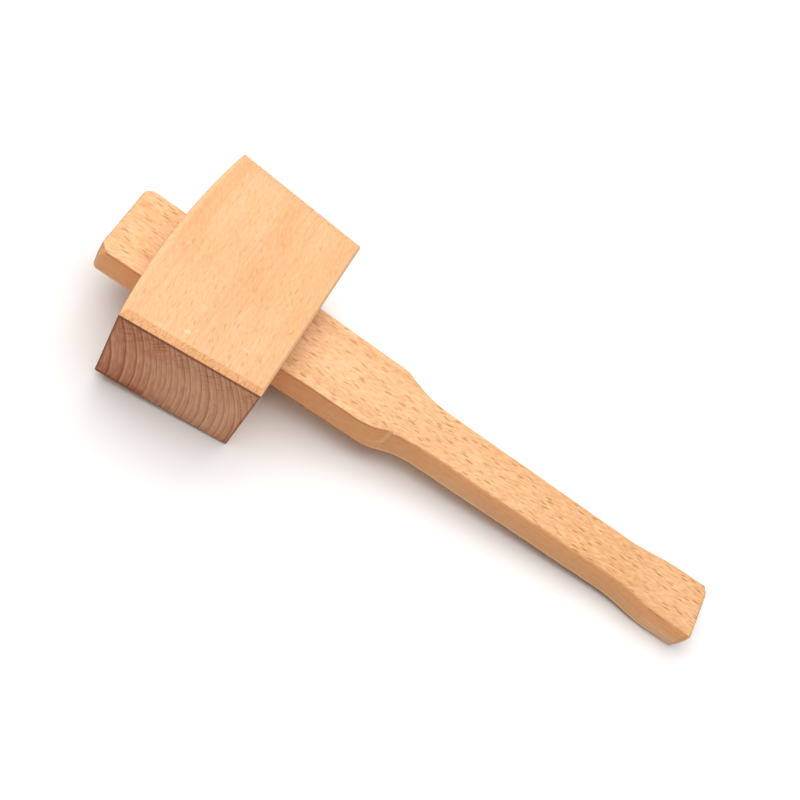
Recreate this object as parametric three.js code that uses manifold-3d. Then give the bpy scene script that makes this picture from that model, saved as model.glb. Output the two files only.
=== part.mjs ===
// A carpenter's wooden mallet: a solid block head on a tapered flat handle.
//
// The mallet lies on one side face of its head, as it does on a bench. Millimetres, +Z up.
// X runs along the handle, with +X towards the grip, so the crown of the head faces -X.
// Y is the direction of a blow. The two striking faces look along -Y and +Y.
// The origin is the middle of the head's lower side face, the face that it rests on.
//
// The handle is widest at the stub that stands out of the crown and narrows towards the
// grip, and the mortise has the same taper. The handle goes in through the crown, and a
// swing only wedges the head tighter. Nothing else holds the two pieces together.

import * as THREE from "three";
import { mergeVertices } from "three/addons/utils/BufferGeometryUtils.js";
import Module from "manifold-3d";

const wasm = await Module();
wasm.setup();

// ---------------------------------------------------------------- driving dimensions

const HEAD_THICKNESS = 60; // Z, from side face to side face
const HEAD_HEIGHT = 70; // X, from the throat to the corners of the crown
const CROWN_LENGTH = 110; // Y, between the striking faces at the crown
const THROAT_LENGTH = 98.5; // Y, between the striking faces where the handle comes out
const CROWN_RISE = 4; // how far the crown bulges past its corners
const CROWN_FACETS = 360; // facets in the whole circle that the crown is an arc of

// The chamfers along the upper and the lower edge of each of the head's walls.
const STRIKE_CHAMFERS = { upper: { inset: 3.9, drop: 1.7 }, lower: { inset: 2.1, drop: 0.9 } };
const CROWN_CHAMFERS = { upper: { inset: 2.6, drop: 1 }, lower: { inset: 2.6, drop: 1 } };
const THROAT_CHAMFERS = { upper: { inset: 1.5, drop: 1.5 }, lower: { inset: 1.5, drop: 1.5 } };

const HANDLE_THICKNESS = 18; // Z
const STUB_X = -63; // where the handle ends beyond the crown
const STUB_WIDTH = 42.7; // Y, at the end of the stub
const STUB_CORNER_RADIUS = 3.7;
const SHOULDER_X = 88.3; // where the wide part ends
const SHOULDER_WIDTH = 38.8;
const SHOULDER_RADIUS = 60; // the hollow curve from the shoulder down to the grip
const GRIP_WIDTH = 26.4; // just below the shoulder
const WAIST_X = 224; // the narrowest place
const WAIST_WIDTH = 24.2;
const FLARE_X = 257; // where the flared butt reaches its width
const BUTT_X = 273;
const BUTT_WIDTH = 30.8;
const BUTT_CORNER = { along: 2.6, across: 4 };
const EDGE_CHAMFER = 1.2; // on the handle's long edges
const CURVE_STEPS = 12; // straight steps in each curve of the handle's outline

const FIT_GAP = 0.3; // between the handle and the wall of its mortise

// ---------------------------------------------------------------- sizes worked out from them

const HEAD_MIDDLE_Z = HEAD_THICKNESS / 2;
const THROAT_X = HEAD_HEIGHT / 2;
const CROWN_CORNER_X = -HEAD_HEIGHT / 2;
const SPLAY = Math.atan((CROWN_LENGTH - THROAT_LENGTH) / 2 / HEAD_HEIGHT);
const HALF_CROWN = CROWN_LENGTH / 2;
const CROWN_RADIUS = (HALF_CROWN ** 2 + CROWN_RISE ** 2) / (2 * CROWN_RISE);
const REACH = 2 * CROWN_LENGTH; // longer than anything that it is cut with
const MORTISE_OVERRUN = 10; // how far the mortise's cutter runs past the head at each end

// Half the width of the handle's wide part at x, which narrows evenly from stub to shoulder.
function taperHalfWidth(x) {
  const share = (x - STUB_X) / (SHOULDER_X - STUB_X);
  return THREE.MathUtils.lerp(STUB_WIDTH, SHOULDER_WIDTH, share) / 2;
}

// ---------------------------------------------------------------- solids and meshes

function solidFrom(geometry) {
  const bare = geometry.clone();
  bare.deleteAttribute("normal");
  bare.deleteAttribute("uv");
  const merged = mergeVertices(bare, 1e-4);
  return new wasm.Manifold(
    new wasm.Mesh({
      numProp: 3,
      vertProperties: merged.attributes.position.array,
      triVerts: new Uint32Array(merged.index.array),
    }),
  );
}

function geometryFrom(solid) {
  const mesh = solid.getMesh();
  const geometry = new THREE.BufferGeometry();
  geometry.setAttribute("position", new THREE.BufferAttribute(mesh.vertProperties, 3));
  geometry.setIndex(new THREE.BufferAttribute(mesh.triVerts, 1));
  geometry.computeVertexNormals();
  return geometry;
}

// The outline of one wall of the head with its two chamfers, as points of depth and height.
// A depth of 0 is on the wall, and depth is counted inwards.
function chamferedWall({ upper, lower }, innermost) {
  return [
    [innermost, 0],
    [lower.inset, 0],
    [0, lower.drop],
    [0, HEAD_THICKNESS - upper.drop],
    [upper.inset, HEAD_THICKNESS],
    [innermost, HEAD_THICKNESS],
  ];
}

// A slab as thick as the head that ends in one flat, chamfered wall. The wall looks along
// the direction that is turned by angle from +X, and stands at the given distance from the
// origin.
function slabWithWall(angle, distance, chamfers) {
  const outline = chamferedWall(chamfers, REACH).map(
    ([depth, height]) => new THREE.Vector2(distance - depth, height),
  );
  const slab = new THREE.ExtrudeGeometry(new THREE.Shape(outline), {
    depth: 2 * REACH,
    bevelEnabled: false,
  });
  slab.translate(0, 0, -REACH);
  slab.rotateX(Math.PI / 2);
  slab.rotateZ(angle);
  return solidFrom(slab);
}

// ---------------------------------------------------------------- head

// The disc that the crown is the rim of, as thick as the head.
function crownDisc() {
  const profile = chamferedWall(CROWN_CHAMFERS, CROWN_RADIUS).map(
    ([depth, height]) => new THREE.Vector2(CROWN_RADIUS - depth, height),
  );
  const disc = new THREE.LatheGeometry(profile, CROWN_FACETS);
  disc.rotateX(Math.PI / 2);
  disc.translate(CROWN_CORNER_X - CROWN_RISE + CROWN_RADIUS, 0, 0);
  return solidFrom(disc);
}

function strikingSlab(side) {
  const middleLength = (CROWN_LENGTH + THROAT_LENGTH) / 2;
  const distance = (middleLength / 2) * Math.cos(SPLAY);
  return slabWithWall(side * (Math.PI / 2 - SPLAY), distance, STRIKE_CHAMFERS);
}

// The cutter for the through mortise, which has the handle's taper and a gap all round.
function mortiseCutter() {
  const crownEnd = CROWN_CORNER_X - CROWN_RISE - MORTISE_OVERRUN;
  const throatEnd = THROAT_X + MORTISE_OVERRUN;
  const crownHalf = taperHalfWidth(crownEnd) + FIT_GAP;
  const throatHalf = taperHalfWidth(throatEnd) + FIT_GAP;
  const outline = [
    new THREE.Vector2(crownEnd, -crownHalf),
    new THREE.Vector2(throatEnd, -throatHalf),
    new THREE.Vector2(throatEnd, throatHalf),
    new THREE.Vector2(crownEnd, crownHalf),
  ];
  const height = HANDLE_THICKNESS + 2 * FIT_GAP;
  const cutter = new THREE.ExtrudeGeometry(new THREE.Shape(outline), {
    depth: height,
    bevelEnabled: false,
  });
  cutter.translate(0, 0, HEAD_MIDDLE_Z - height / 2);
  return solidFrom(cutter);
}

function headGeometry() {
  const block = slabWithWall(0, THROAT_X, THROAT_CHAMFERS)
    .intersect(strikingSlab(-1))
    .intersect(strikingSlab(1))
    .intersect(crownDisc());
  return geometryFrom(block.subtract(mortiseCutter()));
}

// ---------------------------------------------------------------- handle

// One long side of the handle's outline, from the middle of the stub's end to the middle
// of the butt.
function handleSide() {
  const stubHalf = STUB_WIDTH / 2;
  const gripHalf = GRIP_WIDTH / 2;
  const waistHalf = WAIST_WIDTH / 2;
  const buttHalf = BUTT_WIDTH / 2;

  // The hollow curve starts at the shoulder and ends level with the grip.
  const shoulderHalf = SHOULDER_WIDTH / 2;
  const curveTop = gripHalf + SHOULDER_RADIUS - shoulderHalf;
  const curveLength = Math.sqrt(SHOULDER_RADIUS ** 2 - curveTop ** 2);
  const gripX = SHOULDER_X + curveLength;
  const curveStart = Math.atan2(-curveTop, -curveLength);
  const flareMiddle = (WAIST_X + FLARE_X) / 2;

  const side = new THREE.Path();
  side.moveTo(STUB_X, 0);
  side.lineTo(STUB_X, stubHalf - STUB_CORNER_RADIUS);
  side.absarc(
    STUB_X + STUB_CORNER_RADIUS,
    stubHalf - STUB_CORNER_RADIUS,
    STUB_CORNER_RADIUS,
    Math.PI,
    Math.PI / 2,
    true,
  );
  side.lineTo(SHOULDER_X, shoulderHalf);
  side.absarc(gripX, gripHalf + SHOULDER_RADIUS, SHOULDER_RADIUS, curveStart, -Math.PI / 2, false);
  side.lineTo(WAIST_X, waistHalf);
  side.bezierCurveTo(flareMiddle, waistHalf, flareMiddle, buttHalf, FLARE_X, buttHalf);
  side.lineTo(BUTT_X - BUTT_CORNER.along, buttHalf);
  side.lineTo(BUTT_X, buttHalf - BUTT_CORNER.across);
  side.lineTo(BUTT_X, 0);
  return side.getPoints(CURVE_STEPS);
}

function handleGeometry() {
  const upper = handleSide();
  const lower = upper
    .slice(1, -1)
    .reverse()
    .map((point) => new THREE.Vector2(point.x, -point.y));
  const handle = new THREE.ExtrudeGeometry(new THREE.Shape([...upper, ...lower]), {
    depth: HANDLE_THICKNESS - 2 * EDGE_CHAMFER,
    bevelThickness: EDGE_CHAMFER,
    bevelSize: EDGE_CHAMFER,
    bevelOffset: -EDGE_CHAMFER,
    bevelSegments: 1,
  });
  handle.translate(0, 0, HEAD_MIDDLE_Z - HANDLE_THICKNESS / 2 + EDGE_CHAMFER);
  return handle;
}

// ---------------------------------------------------------------- the mallet

function piece(name, geometry, color) {
  const material = new THREE.MeshStandardMaterial({ color, roughness: 0.6, metalness: 0 });
  const mesh = new THREE.Mesh(geometry, material);
  mesh.name = name;
  return mesh;
}

const mallet = new THREE.Group();
mallet.name = "mallet";
mallet.add(piece("head", headGeometry(), 0xf0c08f));
mallet.add(piece("handle", handleGeometry(), 0xeebb88));

export default mallet;
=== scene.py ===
"""A carpenter's wooden mallet in pale beech, lying on a white table.

Lengths are in millimetres until they reach Blender, which takes metres. The frame is the
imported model's: +X runs along the handle towards the grip, Y is the direction of a blow,
+Z is up, and the origin is the middle of the head's lower side face.
"""

import itertools
import math

import bmesh
import bpy
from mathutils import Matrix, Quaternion, Vector, noise


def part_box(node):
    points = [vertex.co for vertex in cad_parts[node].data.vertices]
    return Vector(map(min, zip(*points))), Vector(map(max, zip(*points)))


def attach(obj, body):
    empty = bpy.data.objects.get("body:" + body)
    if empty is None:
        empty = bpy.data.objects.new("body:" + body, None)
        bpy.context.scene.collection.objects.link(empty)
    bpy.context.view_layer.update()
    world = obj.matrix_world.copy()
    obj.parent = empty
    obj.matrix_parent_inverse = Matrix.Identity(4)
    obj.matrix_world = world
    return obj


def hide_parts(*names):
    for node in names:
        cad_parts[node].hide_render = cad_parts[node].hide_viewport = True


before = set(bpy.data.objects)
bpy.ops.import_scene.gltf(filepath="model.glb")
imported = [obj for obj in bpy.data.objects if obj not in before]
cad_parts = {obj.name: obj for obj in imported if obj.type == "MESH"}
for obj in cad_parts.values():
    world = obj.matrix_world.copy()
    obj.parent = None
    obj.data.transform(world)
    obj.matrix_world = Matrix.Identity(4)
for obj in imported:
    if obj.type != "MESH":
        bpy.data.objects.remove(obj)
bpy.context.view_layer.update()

MM = 0.001


def in_mm(corner):
    """A corner of a box from the frame, in millimetres."""
    return Vector(corner) / MM


HEAD_LOW, HEAD_HIGH = (in_mm(c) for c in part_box("head"))
HANDLE_LOW, HANDLE_HIGH = (in_mm(c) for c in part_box("handle"))

# ---------------------------------------------------------------- sizes of the head

THICKNESS = HEAD_HIGH.z - HEAD_LOW.z
THROAT_X = HEAD_HIGH.x
CROWN_RISE = 4.0  # how far the crown bulges past its corners
CROWN_CORNER_X = HEAD_LOW.x + CROWN_RISE
HALF_CROWN = HEAD_HIGH.y
HALF_THROAT = 49.25  # the striking faces are splayed
CROWN_RADIUS = (HALF_CROWN ** 2 + CROWN_RISE ** 2) / (2 * CROWN_RISE)
MORTISE_GAP = 0.3  # all round the handle

# How far each chamfer comes down its wall, and how far it runs in over the side face.
STRIKE_DROP = 1.7
LOW_STRIKE_DROP = 0.9  # the same on the lower side, where it also runs in less
STRIKE_INSET_AT_CROWN = 4.6
STRIKE_INSET_AT_THROAT = 3.3
CROWN_INSET, CROWN_DROP = 2.6, 1.0
THROAT_INSET, THROAT_DROP = 1.4, 1.4

ARRIS_ROUND = 0.55  # the rounding of the head's arrises
MOUTH_ROUND = 0.15  # the rounding of the mouths of the mortise
MOUTH_MARGIN = 1.5  # edges this close to a mouth count as part of it
SHARP_ANGLE = math.radians(9)  # edges that turn less than this aren't rounded

# How unevenly the chamfers are cut: the length of one waver and its height.
STRIKE_WAVER = (14.0, 0.35)
CROWN_WAVER = (17.0, 0.3)
THROAT_WAVER = (15.0, 0.2)

# ---------------------------------------------------------------- sizes of the handle

STUB_X = HANDLE_LOW.x
BUTT_X = HANDLE_HIGH.x
HANDLE_HALF_THICKNESS = (HANDLE_HIGH.z - HANDLE_LOW.z) / 2
MIDDLE_Z = (HANDLE_HIGH.z + HANDLE_LOW.z) / 2
STUB_HALF = HANDLE_HIGH.y
SHOULDER_X, SHOULDER_HALF = 88.3, 19.4  # where the straight taper ends
GRIP_HALF = 13.1
WAIST_X, WAIST_HALF = 224.0, 12.1  # where the grip is slimmest
FLARE_X = 257.0  # where the butt has its full width


def lerp(a, b, share):
    return a + (b - a) * share


def smooth(share):
    """0 below 0, 1 above 1, and an even S-curve between them."""
    t = min(1.0, max(0.0, share))
    return t * t * (3 - 2 * t)


def waver(position, length, height, seed):
    """A slow random waver, of at most about height, that repeats on every run."""
    return height * noise.noise(Vector((position / length, seed, 0.0)))


def taper_half(x):
    """Half the handle's width at x, in its straight tapered part."""
    return lerp(STUB_HALF, SHOULDER_HALF, (x - STUB_X) / (SHOULDER_X - STUB_X))


# ---------------------------------------------------------------- mesh helpers


def new_piece(name, vertices, faces):
    """A mesh object made from points in millimetres."""
    mesh = bpy.data.meshes.new(name)
    mesh.from_pydata([Vector(v) * MM for v in vertices], [], faces)
    mesh.validate()
    mesh.update()
    piece = bpy.data.objects.new(name, mesh)
    bpy.context.scene.collection.objects.link(piece)
    return piece


def face_outwards(piece):
    shape = bmesh.new()
    shape.from_mesh(piece.data)
    bmesh.ops.recalc_face_normals(shape, faces=shape.faces)
    shape.to_mesh(piece.data)
    shape.free()


# ---------------------------------------------------------------- head

CROWN_STEPS = 10  # steps in Y from the mortise out to a striking face
MORTISE_STEPS = 8  # steps in Y across the mortise
LENGTH_STEPS = 18  # steps in X from the crown to the throat
HEIGHT_STEPS = 5  # steps in Z beside the mortise, and above and below it


def crown_x(y):
    return CROWN_CORNER_X + CROWN_RADIUS - CROWN_RISE - math.sqrt(CROWN_RADIUS ** 2 - y * y)


def head_columns():
    """Places across the head: -2 and 2 at the striking faces, -1 to 1 in the mortise."""
    outer = [1 + i / CROWN_STEPS for i in range(1, CROWN_STEPS + 1)]
    inner = [2 * i / MORTISE_STEPS - 1 for i in range(MORTISE_STEPS + 1)]
    return [-v for v in reversed(outer)] + inner + outer


def head_rows():
    """Heights on the head's walls. The first and the last are its two side faces."""
    low = MIDDLE_Z - HANDLE_HALF_THICKNESS - MORTISE_GAP
    high = MIDDLE_Z + HANDLE_HALF_THICKNESS + MORTISE_GAP
    rows = [0.0]
    for start, end in ((LOW_STRIKE_DROP, low), (low, high)):
        rows += [lerp(start, end, i / HEIGHT_STEPS) for i in range(HEIGHT_STEPS)]
    top = THICKNESS - STRIKE_DROP
    rows += [lerp(high, top, i / HEIGHT_STEPS) for i in range(HEIGHT_STEPS + 1)]
    return rows + [THICKNESS]


def head_point(along, column, row, rows):
    """The point of the head's block at a place along it, across it and up it."""
    last = len(rows) - 1
    on_side = row in (0, last)
    outer = lerp(HALF_CROWN, HALF_THROAT, along)
    x_mid = lerp(CROWN_CORNER_X, THROAT_X, along)
    inset = 0.0
    if on_side:
        seed = 3.0 if column < 0 else 7.0
        inset = lerp(STRIKE_INSET_AT_CROWN, STRIKE_INSET_AT_THROAT, along)
        inset += waver(x_mid, *STRIKE_WAVER, seed + row)
        if row == 0:
            inset *= LOW_STRIKE_DROP / STRIKE_DROP
    inner = taper_half(x_mid) + MORTISE_GAP
    if abs(column) <= 1:
        y = column * inner
    else:
        y = math.copysign(lerp(inner, outer - inset, abs(column) - 1), column)
    start, end = crown_x(y), THROAT_X
    if on_side:
        start += CROWN_INSET + waver(y, *CROWN_WAVER, 11.0 + row)
        end -= THROAT_INSET + waver(y, *THROAT_WAVER, 13.0 + row)
    z = rows[row]
    if row in (1, last - 1):
        end_drop = CROWN_DROP if along == 0 else THROAT_DROP
        strike_drop = LOW_STRIKE_DROP if row == 1 else STRIKE_DROP
        drop = strike_drop if abs(column) == 2 else end_drop
        z = drop if row == 1 else THICKNESS - drop
    return (lerp(start, end, along), y, z)


def neighbour(cell, axis, side):
    """The next cell along an axis: down it for side 0, and up it for side 1."""
    beyond = list(cell)
    beyond[axis] += 2 * side - 1
    return tuple(beyond)


def wall(cell, axis, side):
    """The corners of a cell's wall towards that neighbour, in order round it."""
    a, b = (n for n in range(3) if n != axis)
    corners = []
    for step_a, step_b in ((0, 0), (1, 0), (1, 1), (0, 1)):
        corner = list(cell)
        corner[axis] += side
        corner[a] += step_a
        corner[b] += step_b
        corners.append(tuple(corner))
    return corners


def head_piece():
    """The head's block, as the outside of a grid of cells with the mortise's cells left out."""
    columns, rows = head_columns(), head_rows()
    steps = (LENGTH_STEPS, len(columns) - 1, len(rows) - 1)
    mortise_columns = range(CROWN_STEPS, CROWN_STEPS + MORTISE_STEPS)
    mortise_rows = range(1 + HEIGHT_STEPS, 1 + 2 * HEIGHT_STEPS)

    def filled(cell):
        inside = all(0 <= at < count for at, count in zip(cell, steps))
        return inside and not (cell[1] in mortise_columns and cell[2] in mortise_rows)

    numbers, points, faces = {}, [], []

    def number(corner):
        if corner not in numbers:
            numbers[corner] = len(points)
            i, j, k = corner
            points.append(head_point(i / LENGTH_STEPS, columns[j], k, rows))
        return numbers[corner]

    for cell in itertools.product(*(range(count) for count in steps)):
        for axis, side in itertools.product(range(3), (0, 1)):
            if filled(cell) and not filled(neighbour(cell, axis, side)):
                faces.append([number(corner) for corner in wall(cell, axis, side)])
    piece = new_piece("head_block", points, faces)
    face_outwards(piece)
    round_head_edges(piece)
    return piece


def round_head_edges(piece):
    """Rounds the arrises of the head a little, and the mouths of the mortise hardly at all."""
    shape = bmesh.new()
    shape.from_mesh(piece.data)
    weight = shape.edges.layers.float.new("bevel_weight_edge")
    mouth_y = taper_half(CROWN_CORNER_X) + MOUTH_MARGIN
    mouth_z = HANDLE_HALF_THICKNESS + MOUTH_MARGIN
    for edge in shape.edges:
        if edge.calc_face_angle(0.0) < SHARP_ANGLE:
            continue
        middle = (edge.verts[0].co + edge.verts[1].co) / 2 / MM
        near_mortise = abs(middle.y) < mouth_y and abs(middle.z - MIDDLE_Z) < mouth_z
        edge[weight] = MOUTH_ROUND / ARRIS_ROUND if near_mortise else 1.0
    shape.to_mesh(piece.data)
    shape.free()
    rounding = piece.modifiers.new("arrises", "BEVEL")
    rounding.limit_method = "WEIGHT"
    rounding.width = ARRIS_ROUND * MM
    rounding.segments = 3
    rounding.harden_normals = True
    piece.data.shade_smooth()


# ---------------------------------------------------------------- handle

FAR, NEAR = 1, -1  # the sides of the handle, towards +Y and towards -Y
CREASE_X = SHOULDER_X + 8.1  # where the flat cut on the near shoulder meets the hollow
CREASE_HALF = SHOULDER_HALF - 2.3
CREASE_STEP = 0.45
CREASE_SPREAD = 9.0  # how far either way the crease alters the handle's shape

# The angle that the hollow below the shoulder turns through, and half the width of the butt.
FAR_TURN, FAR_FLARE_HALF = math.radians(26.5), 14.4
NEAR_TURN, NEAR_FLARE_HALF = math.radians(24), 15.6
FAR_SLIMMER = 0.4  # how much slimmer the grip is on its far side

SANDED_REACH = 1.4  # how far either way sanding softens a corner of the outline
CREASE_SANDED_HIGH, CREASE_SANDED_LOW = 0.25, 5.0  # the same for the crease's two ends
CRISP_EDGE, SOFT_EDGE = 0.7, 1.15  # the rounding of the long edges in the head and at the grip
LEAN_TO_CREASE = 2.5  # how far the near side leans in where the flat cut meets the crease
LEAN_RUN = 20.0  # how far before the crease that lean begins
LEAN_PAST_CREASE = 1.1  # the same just past the crease
PLAIN_LEAN = 0.25  # the same everywhere past the throat

# How unevenly the handle is shaped: the length of one waver and its height.
RASPED_WAVER = (19.0, 0.35)
EDGE_WAVER = (7.0, 0.12)
LONG_LEAN_WAVER = (23.0, 0.35)
SHORT_LEAN_WAVER = (5.0, 0.22)

# The corners taken off the handle's ends: how far along it each reaches, how far it pulls in,
# and the power of its curve, which is 1 for a straight cut and 2 for a round.
STUB_FAR_CORNER = (5.0, 4.6, 1.9)
STUB_NEAR_LOW_CORNER = (2.5, 2.0, 1.5)
STUB_NEAR_HIGH_CORNER = (4.3, 4.3, 1.1)
STUB_WIDE_FACE_EDGE = (1.0, 0.9, 2.0)
BUTT_FAR_CORNER = (2.6, 3.9, 1.0)
BUTT_NEAR_LOW_CORNER = (2.7, 1.9, 1.7)
BUTT_NEAR_HIGH_CORNER = (1.1, 0.8, 1.3)
BUTT_WIDE_FACE_EDGE = (1.6, 1.3, 1.8)


def half_width(x, side):
    """Half the handle's width at x on one side, apart from the ends' corners."""
    if side == FAR:
        curve_x, curve_start, turn = SHOULDER_X, SHOULDER_HALF, FAR_TURN
        slimmer, flare = FAR_SLIMMER, FAR_FLARE_HALF
    else:
        curve_x, curve_start, turn = CREASE_X, CREASE_HALF - CREASE_STEP, NEAR_TURN
        slimmer, flare = 0.0, NEAR_FLARE_HALF
    grip, waist = GRIP_HALF - slimmer, WAIST_HALF - slimmer
    radius = (curve_start - grip) / (1 - math.cos(turn))
    grip_x = curve_x + radius * math.sin(turn)
    if x <= SHOULDER_X:
        return taper_half(x)
    if x <= curve_x:
        return lerp(SHOULDER_HALF, CREASE_HALF, (x - SHOULDER_X) / (curve_x - SHOULDER_X))
    if x < grip_x:
        back = grip_x - x
        return grip + radius - math.sqrt(radius * radius - back * back)
    if x <= WAIST_X:
        return lerp(grip, waist, (x - grip_x) / (WAIST_X - grip_x))
    return lerp(waist, flare, smooth((x - WAIST_X) / (FLARE_X - WAIST_X)))


def softened_half_width(x, side, at_crease=SANDED_REACH):
    """The half width with its corners softened, as sanding leaves them.

    Each is softened over SANDED_REACH either way, and the crease over at_crease.
    """
    reach = lerp(SANDED_REACH, at_crease, smooth(1 - abs(x - CREASE_X) / CREASE_SPREAD))
    steps = 4
    samples = [half_width(x + reach * i / steps, side) for i in range(-steps, steps + 1)]
    width = sum(samples) / len(samples)
    rasped = smooth((x - SHOULDER_X) / 20)
    return width + rasped * waver(x, *RASPED_WAVER, 20.0 + side)


def corner_drop(distance, along, across, power):
    """How far a rounded corner has pulled in, at a distance from the end."""
    if distance >= along:
        return 0.0
    t = 1 - distance / along
    return across * (1 - (1 - t ** power) ** (1 / power))


def edge_round(x):
    """The radius of the handle's long edges: crisp in the head, softer at the grip."""
    softness = smooth((x - SHOULDER_X + 6) / 24)
    return lerp(CRISP_EDGE, SOFT_EDGE, softness) + waver(x, *EDGE_WAVER, 31.0)


def near_lean(x):
    """How much further in the near side's upper edge is than its lower edge."""
    uneven = PLAIN_LEAN + waver(x, *LONG_LEAN_WAVER, 41.0) + waver(x, *SHORT_LEAN_WAVER, 43.0)
    sanded = uneven * smooth((x - THROAT_X + 3) / 12)
    if x < CREASE_X:
        return sanded + LEAN_TO_CREASE * smooth((x - CREASE_X + LEAN_RUN) / LEAN_RUN)
    return sanded + LEAN_PAST_CREASE * smooth((CREASE_X + CREASE_SPREAD - x) / CREASE_SPREAD)


NEAR_BUTT_BULGE = 1.0  # how far the near side swells at the butt, halfway up
STUB_CUT_DEPTH = 0.35  # how much of the near side's height the cut at the stub's corner takes
ARC_STEPS = 4  # steps in each rounded long edge
FLAT_STEPS = 10  # steps across the handle's wide faces
SIDE_STEPS = 8  # steps up its narrow faces


def handle_section(x):
    """The ring of points round the handle at x."""
    from_stub, from_butt = x - STUB_X, BUTT_X - x
    far = softened_half_width(x, FAR)
    near_high = softened_half_width(x, NEAR, CREASE_SANDED_HIGH)
    near_low = softened_half_width(x, NEAR, CREASE_SANDED_LOW)
    far -= corner_drop(from_stub, *STUB_FAR_CORNER) + corner_drop(from_butt, *BUTT_FAR_CORNER)
    low_cut = corner_drop(from_stub, *STUB_NEAR_LOW_CORNER)
    high_cut = corner_drop(from_stub, *STUB_NEAR_HIGH_CORNER)
    near_low -= low_cut + corner_drop(from_butt, *BUTT_NEAR_LOW_CORNER)
    near_high -= high_cut + corner_drop(from_butt, *BUTT_NEAR_HIGH_CORNER)
    near_high -= near_lean(x)
    half = HANDLE_HALF_THICKNESS
    half -= corner_drop(from_stub, *STUB_WIDE_FACE_EDGE)
    half -= corner_drop(from_butt, *BUTT_WIDE_FACE_EDGE)
    radius = edge_round(x)
    ring = []
    corners = ((far, 1), (-near_high, 1), (-near_low, -1), (far, -1))
    for quarter, (edge_y, up) in enumerate(corners):
        centre_y = edge_y - math.copysign(radius, edge_y)
        centre_z = MIDDLE_Z + up * (half - radius)
        for i in range(ARC_STEPS + 1):
            turn = math.pi / 2 * (quarter + i / ARC_STEPS)
            ring.append((x, centre_y + radius * math.cos(turn), centre_z + radius * math.sin(turn)))
        next_y, next_up = corners[(quarter + 1) % 4]
        start = ring[-1]
        if quarter % 2 == 0:
            goal, steps = (x, next_y - math.copysign(radius, next_y), start[2]), FLAT_STEPS
        else:
            goal, steps = (x, next_y, MIDDLE_Z + next_up * (half - radius)), SIDE_STEPS
        for i in range(1, steps):
            share = i / steps
            y = lerp(start[1], goal[1], share)
            if quarter == 1:
                y -= 4 * share * (1 - share) * NEAR_BUTT_BULGE * smooth((x - FLARE_X + 6) / 12)
                spared = 1 - share - max(0.0, 1 - share / STUB_CUT_DEPTH)
                y -= (high_cut - low_cut) * spared
            ring.append((x, y, lerp(start[2], goal[2], share)))
    return ring


FROM_END = (0.0, 0.08, 0.3, 0.65, 1.1, 1.7, 2.5, 3.5, 4.8, 6.5)  # where the rings near an end are


def station_step(x):
    """How far it is from one ring to the next: less where the outline turns."""
    if abs(x - CREASE_X) < 2:
        return 0.25
    turning = SHOULDER_X - 6 < x < SHOULDER_X + 34 or x > WAIST_X - 4
    return 0.9 if turning else 2.4


def handle_stations():
    """Places along the handle, each with its ring of points."""
    stations = [STUB_X + d for d in FROM_END]
    stop = BUTT_X - FROM_END[-1] - 0.5
    x = stations[-1] + station_step(stations[-1])
    while x <= stop:
        stations.append(x)
        x += station_step(x)
    return stations + [BUTT_X - d for d in reversed(FROM_END)]


def closing_rings(end):
    """Smaller and smaller copies of an end's ring, which close the end."""
    middle = sum((Vector(p) for p in end), Vector()) / len(end)
    shares = (0.8, 0.55, 0.3, 0.1)
    return [[tuple(middle.lerp(Vector(p), share)) for p in end] for share in shares]


def handle_piece():
    """The handle as rings of points joined along X, with each end closed by smaller rings."""
    rings = [handle_section(x) for x in handle_stations()]
    rings = closing_rings(rings[0])[::-1] + rings + closing_rings(rings[-1])
    size = len(rings[0])
    points = [p for ring in rings for p in ring]
    faces = []
    for n in range(len(rings) - 1):
        for i in range(size):
            j = (i + 1) % size
            start, following = n * size, (n + 1) * size
            faces.append([start + i, start + j, following + j, following + i])
    faces.append(list(range(size)))
    faces.append(list(range(len(points) - size, len(points))))
    piece = new_piece("handle_shaft", points, faces)
    face_outwards(piece)
    piece.data.shade_smooth()
    return piece


# ---------------------------------------------------------------- material helper


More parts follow.
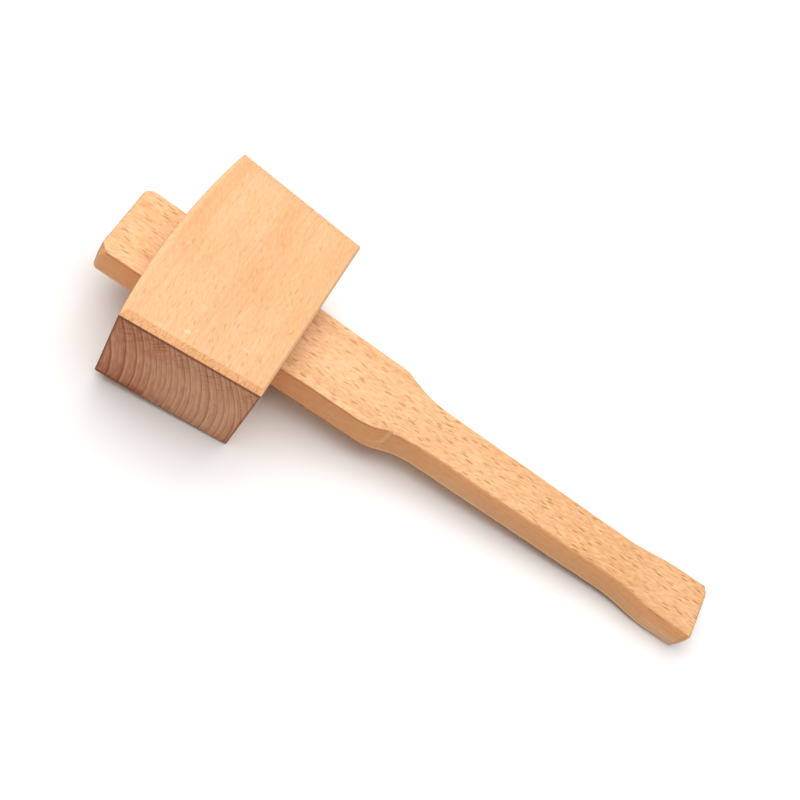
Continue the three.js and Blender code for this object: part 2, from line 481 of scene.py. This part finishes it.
class Graph:
    """A short way to write a material's nodes."""

    def __init__(self, name):
        self.material = bpy.data.materials.new(name)
        self.material.use_nodes = True
        self.tree = self.material.node_tree
        self.shader = self.tree.nodes["Principled BSDF"]

    def node(self, kind, **settings):
        made = self.tree.nodes.new(kind)
        for key, value in settings.items():
            setattr(made, key, value)
        return made

    def plug(self, socket, value):
        if isinstance(value, bpy.types.NodeSocket):
            self.tree.links.new(value, socket)
        else:
            socket.default_value = value

    def math(self, operation, *values):
        made = self.node("ShaderNodeMath", operation=operation)
        for socket, value in zip(made.inputs, values):
            self.plug(socket, value)
        return made.outputs[0]

    def chain(self, operation, values):
        """One operation over any number of values, from the first to the last."""
        result = values[0]
        for value in values[1:]:
            result = self.math(operation, result, value)
        return result

    def add(self, *values):
        return self.chain("ADD", values)

    def times(self, *values):
        return self.chain("MULTIPLY", values)

    def largest(self, *values):
        return self.chain("MAXIMUM", values)

    def step(self, value, low, high):
        """An even rise from 0 at low to 1 at high. It falls where low is the larger."""
        made = self.node("ShaderNodeMapRange", interpolation_type="SMOOTHSTEP")
        for socket, number in zip(made.inputs, (value, low, high, 0.0, 1.0)):
            self.plug(socket, number)
        if low > high:
            made.inputs[1].default_value, made.inputs[2].default_value = high, low
            made.inputs[3].default_value, made.inputs[4].default_value = 1.0, 0.0
        return made.outputs[0]

    def vector(self, x, y, z):
        made = self.node("ShaderNodeCombineXYZ")
        for socket, value in zip(made.inputs, (x, y, z)):
            self.plug(socket, value)
        return made.outputs[0]

    def noise(self, place, detail=2.0, roughness=0.5):
        made = self.node("ShaderNodeTexNoise", noise_dimensions="3D")
        self.plug(made.inputs["Vector"], place)
        self.plug(made.inputs["Scale"], 1.0)
        self.plug(made.inputs["Detail"], detail)
        self.plug(made.inputs["Roughness"], roughness)
        return made.outputs[0]

    def cells(self, u, v):
        """How far u, v is from its cell's middle each way, and two random numbers for the cell."""
        place = self.vector(u, v, 0.0)
        made = self.node("ShaderNodeTexVoronoi", voronoi_dimensions="2D", feature="F1")
        self.plug(made.inputs["Vector"], place)
        self.plug(made.inputs["Scale"], 1.0)
        away = self.node("ShaderNodeVectorMath", operation="SUBTRACT")
        self.plug(away.inputs[0], place)
        self.plug(away.inputs[1], made.outputs["Position"])
        offset = self.node("ShaderNodeSeparateXYZ")
        self.plug(offset.inputs[0], away.outputs[0])
        luck = self.node("ShaderNodeSeparateColor")
        self.plug(luck.inputs[0], made.outputs["Color"])
        return offset.outputs[0], offset.outputs[1], luck.outputs[0], luck.outputs[1]

    def mix(self, share, first, second):
        """One colour laid over another. A Mix node's colour sockets are its seventh and eighth."""
        made = self.node("ShaderNodeMix", data_type="RGBA")
        self.plug(made.inputs[0], share)
        self.plug(made.inputs[6], first)
        self.plug(made.inputs[7], second)
        return made.outputs[2]

    def place_and_normal(self):
        """The place on the object in millimetres, and its surface's direction, each as X, Y, Z."""
        coordinates = self.node("ShaderNodeTexCoord")
        scaled = self.node("ShaderNodeVectorMath", operation="SCALE")
        self.plug(scaled.inputs[0], coordinates.outputs["Object"])
        scaled.inputs["Scale"].default_value = 1 / MM
        parts = []
        for source in (scaled.outputs[0], coordinates.outputs["Normal"]):
            split = self.node("ShaderNodeSeparateXYZ")
            self.plug(split.inputs[0], source)
            parts.append(list(split.outputs))
        return parts


def srgb(red, green, blue):
    """A colour from 0 to 255 a channel, as the linear colour that a shader takes."""
    def linear(value):
        c = value / 255
        return c / 12.92 if c <= 0.04045 else ((c + 0.055) / 1.055) ** 2.4

    return (linear(red), linear(green), linear(blue), 1.0)


# ---------------------------------------------------------------- beech

PALE_WOOD = srgb(226, 176, 127)
DEEP_WOOD = srgb(216, 161, 112)
ORANGE_WOOD = srgb(220, 158, 104)
SILK = srgb(240, 192, 146)
UNDER_ARRIS = srgb(196, 118, 56)
SIDE_WOOD = srgb(234, 158, 94)
# painted light on the narrow sides
LIT_SIDE = srgb(250, 178, 116)
# painted reflection of the table on the lower edges, and painted highlight on the crease's rim
LOW_EDGE = srgb(255, 208, 164)
# painted light on the cut at the stub's corner
LIT_CUT = srgb(255, 192, 126)
PINK_WOOD = srgb(230, 178, 138)
SOFT_FLECK = srgb(196, 140, 88)
FLECK = srgb(160, 102, 38)
END_GRAIN = srgb(219, 162, 125)
END_DEEP = srgb(184, 113, 72)
RING_LINE = srgb(146, 74, 44)
RING_PALE = srgb(226, 178, 142)
# the dark arrises of the striking faces, also painted shade along their bottom edges
DARK_ARRIS_AND_SHADE = srgb(118, 56, 26)
STAIN = srgb(146, 68, 30)
HATCH_PALE = srgb(214, 154, 110)
# painted shade on the chamfer of the near striking face
SLANT = srgb(224, 152, 90)
# a pale tint, also used as painted light on the chamfers and beside the head
PALE_EDGE = srgb(240, 192, 148)
HANDLED = srgb(208, 146, 89)
SCUFFED = srgb(240, 202, 168)

STAGGER = 0.37  # how far along one row of rays is from the next, in places


class Beech:
    """The colours and the relief of a solid block of beech, so that a face shows what a cut shows.

    The block is placed by how far a point lies along the fibres, radially, which counts
    outwards through the growth rings, and tangentially, round them, all in millimetres.
    rings is the number of growth rings from a fixed one, and facing is how squarely a face
    looks along the fibres.
    """

    def __init__(self, graph, along, radial, tangential, rings, facing):
        self.graph = graph
        self.along, self.radial, self.tangential = along, radial, tangential
        self.steep = graph.math("ABSOLUTE", facing)
        self.on_end = graph.step(self.steep, 0.55, 0.85)
        self.on_slant = graph.step(self.steep, 0.15, 0.4)
        self.cloud = graph.noise(self.stretched(24, 110, 20), 3.0, 0.55)
        self.fibre = graph.noise(self.stretched(0.5, 9, 0.4), 3.0, 0.6)
        self.ring_tones(rings)

    def stretched(self, across, length, around):
        """The place, shrunk so that one unit is this many millimetres each way."""
        graph = self.graph
        return graph.vector(
            graph.times(self.radial, 1 / across),
            graph.times(self.along, 1 / length),
            graph.times(self.tangential, 1 / around),
        )

    def ring_tones(self, rings):
        """Each ring darkens slowly outwards, ends in a thin dark line, and starts pale."""
        graph = self.graph
        uneven = graph.noise(self.stretched(11, 260, 120), 1.0)
        ring = graph.add(rings, graph.times(uneven, 1.5))
        within = graph.math("FRACT", ring)
        which = graph.node("ShaderNodeTexWhiteNoise", noise_dimensions="1D")
        graph.plug(which.inputs["W"], graph.math("FLOOR", ring))
        strength = graph.add(0.5, graph.times(which.outputs["Value"], 0.5))
        line = graph.times(graph.step(within, 0.72, 0.93), graph.step(within, 1.0, 0.96))
        self.ring_line = graph.times(line, strength)
        self.ring_shade = graph.times(within, within, strength)
        self.ring_start = graph.times(graph.step(within, 0.02, 0.07), graph.step(within, 0.3, 0.1))

    def rays(self, apart, share, length, width, seed):
        """The ends of the rays: dashes that taper to a point at both ends.

        There is a place for one every apart[0] mm along and apart[1] mm round, and this share
        of the places has one. length and width are the largest, and the least is half of them.
        """
        graph = self.graph
        bend = graph.noise(self.stretched(40, 7, 40), 1.0)
        round_it = graph.add(self.tangential, graph.times(bend, width * 2))
        v = graph.times(round_it, 1 / apart[1])
        u = graph.add(graph.times(self.along, 1 / apart[0]), graph.times(v, STAGGER), seed)
        du, dv, chance, size = graph.cells(u, v)
        there = graph.math("GREATER_THAN", graph.add(chance, share), 1.0)
        shrink = graph.math("DIVIDE", 2.0, graph.add(0.5, graph.times(size, 0.5)))
        du = graph.times(du, shrink, apart[0] / length)
        dv = graph.times(graph.math("ABSOLUTE", dv), shrink, apart[1] / width)
        return graph.times(there, graph.step(graph.add(dv, graph.times(du, du)), 1.05, 0.4))

    def side_color(self, look):
        """Wood along the grain: slow tones, silky streaks, and the rays' ends as short dashes."""
        graph = self.graph
        silk = graph.noise(self.stretched(1.6, 4, look["silk_width"]), 2.0, 0.6)
        color = graph.mix(graph.step(self.cloud, 0.36, 0.66), PALE_WOOD, DEEP_WOOD)
        patch = graph.noise(self.stretched(9, 26, 8), 2.0)
        color = graph.mix(graph.times(graph.step(patch, 0.5, 0.7), 0.3), color, ORANGE_WOOD)
        color = graph.mix(graph.times(graph.step(patch, 0.48, 0.32), 0.3), color, PINK_WOOD)
        for share, tint in look["tints"]:
            color = graph.mix(share, color, tint)
        ring_tone = graph.add(self.ring_line, graph.times(self.ring_shade, 0.6))
        color = graph.mix(graph.times(ring_tone, look["ring_on_side"]), color, SOFT_FLECK)
        color = graph.mix(graph.times(graph.step(silk, 0.48, 0.7), look["silk"]), color, SOFT_FLECK)
        color = graph.mix(graph.times(graph.step(silk, 0.5, 0.32), look["silk"]), color, SILK)
        color = graph.mix(graph.times(graph.step(self.fibre, 0.42, 0.7), 0.2), color, SOFT_FLECK)
        # Fibres cut off at a slant show as specks.
        specks = graph.noise(self.stretched(0.9, 2.6, 0.45), 2.0, 0.6)
        specks = graph.times(graph.step(specks, 0.48, 0.64), self.on_slant, look["specks"])
        color = graph.mix(specks, color, FLECK)
        seen = look["rays_seen"]
        fine = self.rays(*look["fine_rays"], 31.5)
        color = graph.mix(graph.times(fine, look["fine_ray_dark"], seen), color, SOFT_FLECK)
        self.strong = graph.times(self.rays(*look["rays"], 0.0), seen)
        self.fine = graph.times(fine, seen)
        return graph.mix(graph.times(self.strong, look["ray_dark"]), color, FLECK)

    def end_color(self, redness, hatch, hatch_round):
        """End grain: the growth rings as lines, and the rays as a fine hatch across them.

        hatch_round takes the tangential coordinate's place for the hatch.
        """
        graph = self.graph
        place = graph.vector(graph.times(self.radial, 1 / 9), 0.0, graph.times(hatch_round, 1 / 1.5))
        lines = graph.noise(place, 2.0, 0.6)
        streaks = graph.noise(self.stretched(0.8, 9, 10), 2.0, 0.6)
        self.pores = graph.noise(self.stretched(0.5, 3.5, 0.9), 3.0, 0.6)
        color = graph.mix(redness, END_GRAIN, END_DEEP)
        color = graph.mix(graph.times(self.ring_shade, 0.5), color, END_DEEP)
        color = graph.mix(graph.times(self.ring_start, 0.4), color, RING_PALE)
        color = graph.mix(graph.times(graph.step(streaks, 0.5, 0.68), 0.3), color, RING_LINE)
        color = graph.mix(graph.times(graph.step(streaks, 0.5, 0.34), 0.35), color, RING_PALE)
        hatch_dark = graph.times(graph.step(lines, 0.52, 0.66), hatch)
        hatch_pale = graph.times(graph.step(lines, 0.48, 0.34), hatch)
        color = graph.mix(graph.times(hatch_dark, 0.65), color, RING_LINE)
        color = graph.mix(graph.times(hatch_pale, 0.7), color, HATCH_PALE)
        color = graph.mix(graph.times(graph.step(self.pores, 0.45, 0.7), 0.2), color, END_DEEP)
        line_share = graph.times(self.ring_line, graph.add(0.4, graph.times(redness, 0.6)))
        return graph.mix(line_share, color, RING_LINE)

    def color(self, look, redness, hatch, hatch_round):
        graph = self.graph
        side, end = self.side_color(look), self.end_color(redness, hatch, hatch_round)
        return graph.mix(self.on_end, side, end)

    def relief(self):
        """How high the surface stands, from the marks that color has made."""
        graph = self.graph
        return graph.add(
            graph.times(self.fibre, 0.5),
            graph.times(self.strong, -0.8),
            graph.times(self.fine, -0.3),
            graph.times(self.ring_line, self.on_end, 0.2),
            graph.times(self.pores, self.on_end, 0.5),
        )


def finish_wood(wood, color):
    """Sets the shader: a thin oil finish over sanded wood, duller on the end grain."""
    graph = wood.graph
    shader = graph.shader
    graph.plug(shader.inputs["Base Color"], color)
    rough = graph.add(0.5, graph.times(wood.fibre, 0.16), graph.times(wood.on_end, 0.12))
    graph.plug(shader.inputs["Roughness"], rough)
    shader.inputs["Specular IOR Level"].default_value = 0.35
    bump = graph.node("ShaderNodeBump")
    bump.inputs["Strength"].default_value = 0.55
    bump.inputs["Distance"].default_value = 0.12 * MM
    graph.plug(bump.inputs["Height"], wood.relief())
    graph.plug(shader.inputs["Normal"], bump.outputs[0])
    return graph.material


# ---------------------------------------------------------------- the head's wood

TOP_ARRIS = THICKNESS - STRIKE_DROP
HEAD_FIBRE_LEAN = 0.118  # how fast the head's fibres run towards its throat
HEAD_RINGS_PER_MM = 0.30
RING_BED_Z = 9.0  # the height at which the head's growth rings stand upright
RING_BEND, RING_BEND_GROWTH = 0.0050, 0.00003  # how much they bend, and its growth along X
RAY_FAN, HATCH_FAN = 0.010, 0.024  # how fast the rays fan out towards the throat
DARK_STREAKS = ((13.0, 7.0, 0.5), (46.0, 16.0, 0.8), (-20.0, 6.0, 0.35))  # radial, reach, share
# Pale marks on the head's upper face: the X and Y of the middle, the half length, the half
# width, the angle and the strength of each.
SCUFFS = (
    (-30.2, -5.0, 1.8, 1.0, 75, 0.6), (-7.5, -29.0, 3.0, 2.2, 20, 0.3),
    (-6.9, -43.6, 1.9, 1.2, 25, 1.0), (-4.6, -40.4, 1.6, 1.3, -40, 0.45),
    (18.2, -34.9, 2.3, 0.8, -8, 0.8), (-18.8, -48.6, 3.4, 0.8, 5, 0.45),
)


def scuffs(graph, x, y, up):
    """Where the head's upper face is scuffed."""
    total = 0.0
    torn = graph.noise(graph.vector(graph.times(x, 0.9), graph.times(y, 0.9), 4.0), 3.0, 0.7)
    for middle_x, middle_y, length, width, angle, strength in SCUFFS:
        cosine, sine = math.cos(math.radians(angle)), math.sin(math.radians(angle))
        from_x, from_y = graph.add(x, -middle_x), graph.add(y, -middle_y)
        u = graph.add(graph.times(from_x, cosine / length), graph.times(from_y, sine / length))
        v = graph.add(graph.times(from_x, -sine / width), graph.times(from_y, cosine / width))
        reach = graph.add(graph.times(u, u), graph.times(v, v), graph.times(torn, 5.0), -2.2)
        total = graph.add(total, graph.times(graph.step(reach, 1.3, 0.2), strength))
    return graph.times(total, graph.step(up, 0.9, 0.98))


def head_block(graph, x, y, z, facing):
    """The head's block of beech. Its rings bend with height and are wider near the crown."""
    height = graph.add(z, -RING_BED_Z)
    bend = graph.add(RING_BEND, graph.times(x, RING_BEND_GROWTH))
    radial = graph.add(x, graph.times(height, height, bend))
    tangential = graph.add(
        graph.times(height, graph.add(1.0, graph.times(x, -RAY_FAN))),
        graph.times(y, -HEAD_FIBRE_LEAN),
    )
    wide = graph.math("MINIMUM", graph.add(radial, 10.0), 0.0)
    rings = graph.add(
        graph.times(radial, HEAD_RINGS_PER_MM),
        graph.times(wide, wide, 0.0040),
        graph.times(graph.step(radial, 0.0, -11.0), -0.55),
    )
    return Beech(graph, y, radial, tangential, rings, facing)


def head_end_look(graph, x, z):
    """How red the striking faces are from place to place, and how strong their hatch is."""
    left = graph.step(x, 8.0, -30.0)
    low = graph.step(z, 26.0, 4.0)
    high = graph.step(z, 34.0, 54.0)
    lowest = graph.step(z, 9.0, 2.0)
    by_throat = graph.times(graph.step(x, 26.0, 34.0), graph.step(z, 54.0, 44.0))
    redness = graph.add(
        graph.times(left, 0.6), graph.times(left, low, 0.4), graph.times(high, 0.42),
        graph.times(lowest, 0.25), graph.times(by_throat, 0.4),
    )
    hatch = graph.add(0.15, graph.times(high, 0.45), graph.times(high, left, 0.6))
    return graph.math("MINIMUM", redness, 1.0), hatch


def head_tints(wood, y, lengthways, up):
    """Dark streaks along the rings, and the tints of the slanting cuts and the upper face.

    The slanting cuts are painted darker at the near striking face, as painted shade, and paler at the
    far one, the crown and the throat, as painted light. The upper face is paler towards the near one.
    """
    graph = wood.graph
    tints = []
    for middle, reach, share in DARK_STREAKS:
        off = graph.math("ABSOLUTE", graph.add(wood.radial, -middle))
        tints.append((graph.times(graph.step(off, reach, reach * 0.2), share * 0.5), DEEP_WOOD))
    slant = graph.times(wood.on_slant, graph.step(wood.steep, 0.8, 0.6))
    end_slant = graph.times(graph.step(lengthways, 0.15, 0.35), graph.step(lengthways, 0.8, 0.6))
    return tints + [
        # painted shade on the chamfer of the near striking face
        (graph.times(slant, graph.step(y, 5.0, -5.0), 0.6), SLANT),
        # painted light on the chamfer of the far striking face
        (graph.times(slant, graph.step(y, -5.0, 5.0), 0.5), PALE_EDGE),
        # painted light on the chamfers at the crown and the throat
        (graph.times(end_slant, 0.55), PALE_EDGE),
        (graph.times(graph.step(y, 0.0, -30.0), up, 0.25), PALE_EDGE),
    ]


def dark_arrises_and_shade(graph, x, z):
    """Where a striking face is dark along its arrises, with painted shade along its bottom edge by the
    table: widest at the bottom, by the crown.
    """
    narrowed = graph.add(z, graph.times(graph.step(x, -30.0, -4.0), 1.9))
    return graph.largest(
        graph.step(z, TOP_ARRIS - 2.2, TOP_ARRIS - 0.9),
        # painted shade along the bottom edge, by the table
        graph.step(narrowed, 4.0, 2.6),
        graph.step(x, CROWN_CORNER_X + 1.4, CROWN_CORNER_X + 0.4),
        graph.step(x, THROAT_X - 1.4, THROAT_X - 0.4),
    )


def stained(graph, x, z):
    """Where a striking face is stained in blotches: low down, and more towards the crown."""
    blotches = graph.noise(graph.vector(graph.times(x, 0.3), graph.times(z, 0.15), 3.0), 2.0)
    return graph.times(
        graph.step(z, 10.0, 3.0), graph.step(blotches, 0.35, 0.6),
        graph.step(x, 24.0, -16.0), graph.step(x, -36.0, -26.0),
    )


def head_material():
    graph = Graph("beech_head")
    (x, y, z), (towards_grip, facing, up) = graph.place_and_normal()
    lengthways = graph.math("ABSOLUTE", towards_grip)
    wood = head_block(graph, x, y, z, facing)
    redness, hatch = head_end_look(graph, x, z)
    fan = graph.math("EXPONENT", graph.times(x, -HATCH_FAN))
    hatch_round = graph.times(graph.add(z, -RING_BED_Z), fan)
    look = {
        "tints": head_tints(wood, y, lengthways, up),
        "rays": ((6.0, 1.15), 0.3, 4.8, 0.58), "ray_dark": 0.28,
        "fine_rays": ((4.0, 0.62), 0.62, 3.6, 0.34), "fine_ray_dark": 0.3,
        "rays_seen": graph.times(
            graph.step(up, -0.9, -0.5), graph.step(lengthways, 0.3, 0.15),
            graph.add(0.68, graph.times(graph.step(y, 16.0, -16.0), 0.32)),
        ),
        "silk": 0.27, "silk_width": 0.38,
        "ring_on_side": 0.2, "specks": 0.5,
    }
    color = wood.color(look, redness, hatch, hatch_round)
    color = graph.mix(graph.times(stained(graph, x, z), wood.on_end, 0.55), color, STAIN)
    # dark arrises, with painted shade along the bottom of each striking face
    color = graph.mix(graph.times(dark_arrises_and_shade(graph, x, z), wood.on_end, 0.75), color, DARK_ARRIS_AND_SHADE)
    color = graph.mix(graph.times(scuffs(graph, x, y, up), 0.8), color, SCUFFED)
    return finish_wood(wood, color)


# ---------------------------------------------------------------- the handle's wood

HANDLE_FIBRE_LEAN = 0.07  # how fast the handle's fibres run towards +Y
HANDLE_RINGS_PER_MM = 0.35
HIDDEN_STUB_X = -36.0  # where the stub is just inside the crown
RIM_BEND_Z = MIDDLE_Z + 0.5  # the rim at the crease is straight above this and bends below it


def crease_rim_highlight(graph, x, z, sideways):
    """A painted highlight: the pale rim where the flat cut on the near shoulder ends."""
    under = graph.largest(graph.add(RIM_BEND_Z, graph.times(z, -1.0)), 0.0)
    past_rim = graph.add(x, graph.times(under, under, under, 0.12), -CREASE_X)
    rim = graph.times(graph.step(past_rim, -2.8, -1.2), graph.step(past_rim, 0.0, -0.4))
    return graph.times(rim, graph.step(sideways, -0.4, -0.8))


def lengthways_tints(graph, x):
    """The handle is palest by the head, with painted light against the head's shadow, and at the butt,
    and browner where a hand holds it.
    """
    by_head = graph.step(x, 90.0, 60.0)
    towards_butt = graph.add(graph.step(x, -20.0, 20.0), graph.step(x, 225.0, 255.0))
    handled = graph.times(graph.step(x, 95.0, 215.0), graph.step(x, 255.0, 230.0))
    return [
        # painted light where the head shades the handle
        (graph.times(by_head, 0.3), PALE_EDGE),
        (graph.times(towards_butt, 0.15), PALE_EDGE),
        (graph.times(handled, 0.27), HANDLED),
    ]


def narrow_side_tints(graph, x, z, sideways, on_narrow):
    """The narrow sides are orange high up and by the head, with pale lower edges; the pale lower edges
    past the shoulder are a painted reflection of the table, and the upper half past the crease and the
    stub carry painted light.
    """
    drift = graph.noise(graph.vector(graph.times(x, 0.03), 2.0, 5.0), 2.0)
    high_band = graph.step(graph.add(z, graph.times(drift, -8.0)), 24.5, 28.5)
    past_stub = graph.step(x, HIDDEN_STUB_X, HIDDEN_STUB_X + 2.0)
    by_head = graph.times(graph.step(x, 140.0, 112.0), past_stub, 0.8)
    orange = graph.add(0.15, graph.times(graph.largest(high_band, by_head), 0.7))

    # painted light on the upper half of the narrow side past the crease, and on the stub's side
    upper_half = graph.times(graph.step(z, 31.0, 36.0), 0.35)
    lit_band = graph.times(graph.add(upper_half, 0.25), graph.step(x, 97.0, 125.0))
    on_stub = graph.step(x, HIDDEN_STUB_X, HIDDEN_STUB_X - 2.0)
    lit = graph.add(lit_band, graph.times(on_stub, 0.6))

    at_high_edge = graph.step(z, HANDLE_HIGH.z - 2.4, HANDLE_HIGH.z - 1.0)
    before_butt = graph.times(graph.step(x, 246.0, 249.0), graph.step(x, 262.0, 253.0))
    under_arris = graph.times(at_high_edge, graph.largest(graph.step(x, 116.0, 96.0), before_butt))

    low_on_butt = graph.times(graph.step(x, 246.0, 258.0), graph.step(z, 34.0, 29.0))
    # painted reflection of the table along the lower edge past the shoulder
    at_low_edge = graph.step(z, HANDLE_LOW.z + 2.4, HANDLE_LOW.z + 1.2)
    low_edge = graph.times(at_low_edge, graph.step(x, 88.0, 98.0))
    return [
        (graph.times(orange, on_narrow), SIDE_WOOD),
        # painted light
        (graph.times(lit, on_narrow), LIT_SIDE),
        (graph.times(under_arris, on_narrow, 0.6), UNDER_ARRIS),
        (graph.times(low_on_butt, on_narrow, 0.6), PALE_EDGE),
        # painted reflection of the table
        (graph.times(low_edge, on_narrow), LOW_EDGE),
        # painted highlight on the crease's rim
        (graph.times(crease_rim_highlight(graph, x, z, sideways), 0.65), LOW_EDGE),
    ]


def handle_end_tints(graph, x, z, facing, sideways, on_narrow):
    """The cut on the stub's corner is painted pale as painted light, and the butt ends in a pale rim.
    """
    # painted light on the cut at the stub's corner
    stub_cut = graph.times(
        graph.step(facing, -0.3, -0.5), graph.step(sideways, -0.3, -0.5), graph.step(z, 31.0, 34.0)
    )
    butt_line = graph.times(graph.step(x, BUTT_X - 3.4, BUTT_X - 2.2), on_narrow)
    butt_rim = graph.times(graph.step(x, BUTT_X - 1.9, BUTT_X - 1.3), graph.step(sideways, -0.2, -0.4))
    return [
        (stub_cut, LIT_CUT),
        (graph.times(butt_line, 0.4), UNDER_ARRIS),
        (graph.times(butt_rim, 0.8), PALE_EDGE),
    ]


def handle_material():
    graph = Graph("beech_handle")
    (x, y, z), (facing, sideways, _) = graph.place_and_normal()
    radial = graph.add(z, graph.times(y, y, 0.006))
    tangential = graph.add(y, graph.times(x, -HANDLE_FIBRE_LEAN))
    rings = graph.times(radial, HANDLE_RINGS_PER_MM)
    wood = Beech(graph, x, radial, tangential, rings, facing)
    narrow = graph.math("ABSOLUTE", sideways)
    on_narrow = graph.step(narrow, 0.5, 0.95)
    tints = lengthways_tints(graph, x)
    tints += narrow_side_tints(graph, x, z, sideways, on_narrow)
    tints += handle_end_tints(graph, x, z, facing, sideways, on_narrow)
    towards_grip = graph.step(x, 80.0, 120.0)
    ray_share = graph.add(0.25, graph.times(towards_grip, 0.15))
    look = {
        "tints": tints,
        "rays": ((7.4, 2.0), ray_share, 6.0, 1.15),
        "ray_dark": graph.add(0.6, graph.times(towards_grip, 0.1)),
        "fine_rays": ((5.0, 1.2), 0.55, 4.4, 0.75), "fine_ray_dark": 0.6,
        "rays_seen": graph.step(narrow, 0.9, 0.4),
        "silk": graph.add(0.6, graph.times(on_narrow, -0.42)), "silk_width": 0.68,
        "ring_on_side": 0.35, "specks": 0.1,
    }
    color = wood.color(look, 0.15, 0.5, tangential)
    return finish_wood(wood, color)


# ---------------------------------------------------------------- table, light and camera

# The mallet tips onto its butt, so the table slopes up to it from the head's throat.
BUTT_CONTACT_X = BUTT_X - 4.0  # the very end of the butt is cut away
TABLE_SLOPE = math.atan2(HANDLE_LOW.z, BUTT_CONTACT_X - THROAT_X)
TABLE_REACH = 3.0  # half its length and width, in metres
TABLE_COLOR = (0.83, 0.822, 0.818, 1.0)


def table_top():
    mesh = bpy.data.meshes.new("table")
    signs = ((-1, -1), (1, -1), (1, 1), (-1, 1))
    corners = [(TABLE_REACH * a, TABLE_REACH * b, 0) for a, b in signs]
    mesh.from_pydata(corners, [], [(0, 1, 2, 3)])
    table = bpy.data.objects.new("table", mesh)
    bpy.context.scene.collection.objects.link(table)
    table.location = Vector((THROAT_X - THROAT_INSET, 0, 0)) * MM
    table.rotation_euler = (0, -TABLE_SLOPE, 0)
    graph = Graph("white_table")
    graph.shader.inputs["Base Color"].default_value = TABLE_COLOR
    graph.shader.inputs["Roughness"].default_value = 0.7
    mesh.materials.append(graph.material)


# In metres. The lamp is aimed at the frame's origin.
SOFTBOX_PLACE = Vector((-0.15, 0.15, 1.25))
SOFTBOX_SIZE = 1.7
SOFTBOX_POWER = 31.0
ROOM_COLOR = (1.0, 0.985, 0.975, 1.0)
ROOM_STRENGTH = 0.16


def softbox():
    light = bpy.data.lights.new("softbox", "AREA")
    light.shape = "SQUARE"
    light.size = SOFTBOX_SIZE
    light.energy = SOFTBOX_POWER
    lamp = bpy.data.objects.new("softbox", light)
    bpy.context.scene.collection.objects.link(lamp)
    lamp.location = SOFTBOX_PLACE
    lamp.rotation_euler = (-SOFTBOX_PLACE).to_track_quat("-Z", "Y").to_euler()


def room():
    """The faint light that comes from all round."""
    world = bpy.data.worlds.new("studio")
    world.use_nodes = True
    backdrop = world.node_tree.nodes["Background"]
    backdrop.inputs["Color"].default_value = ROOM_COLOR
    backdrop.inputs["Strength"].default_value = ROOM_STRENGTH
    bpy.context.scene.world = world


# Fitted to the photo. The angles are in degrees.
CAMERA_AIM = Vector((92.27, 8.32, 30.0))
CAMERA_DISTANCE = 606.53
CAMERA_AZIMUTH = -12.302
CAMERA_ELEVATION = 56.973
CAMERA_ROLL = 44.866
CAMERA_LENS = 56.33


def camera():
    azimuth, elevation = math.radians(CAMERA_AZIMUTH), math.radians(CAMERA_ELEVATION)
    back = Vector((
        math.sin(azimuth) * math.cos(elevation),
        -math.cos(azimuth) * math.cos(elevation),
        math.sin(elevation),
    ))
    data = bpy.data.cameras.new("camera")
    data.lens = CAMERA_LENS
    data.clip_start, data.clip_end = 0.01, 20.0
    eye = bpy.data.objects.new("camera", data)
    bpy.context.scene.collection.objects.link(eye)
    eye.location = (CAMERA_AIM + back * CAMERA_DISTANCE) * MM
    level = (-back).to_track_quat("-Z", "Y")
    roll = Quaternion((0, 0, 1), math.radians(CAMERA_ROLL))
    eye.rotation_mode = "QUATERNION"
    eye.rotation_quaternion = level @ roll
    bpy.context.scene.camera = eye
    bpy.context.scene.view_settings.view_transform = "Standard"


# ---------------------------------------------------------------- the mallet

camera()
softbox()
room()
table_top()

head = head_piece()
head.data.materials.append(head_material())
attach(head, "head")
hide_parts("head")

handle = handle_piece()
handle.data.materials.append(handle_material())
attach(handle, "handle")
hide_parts("handle")
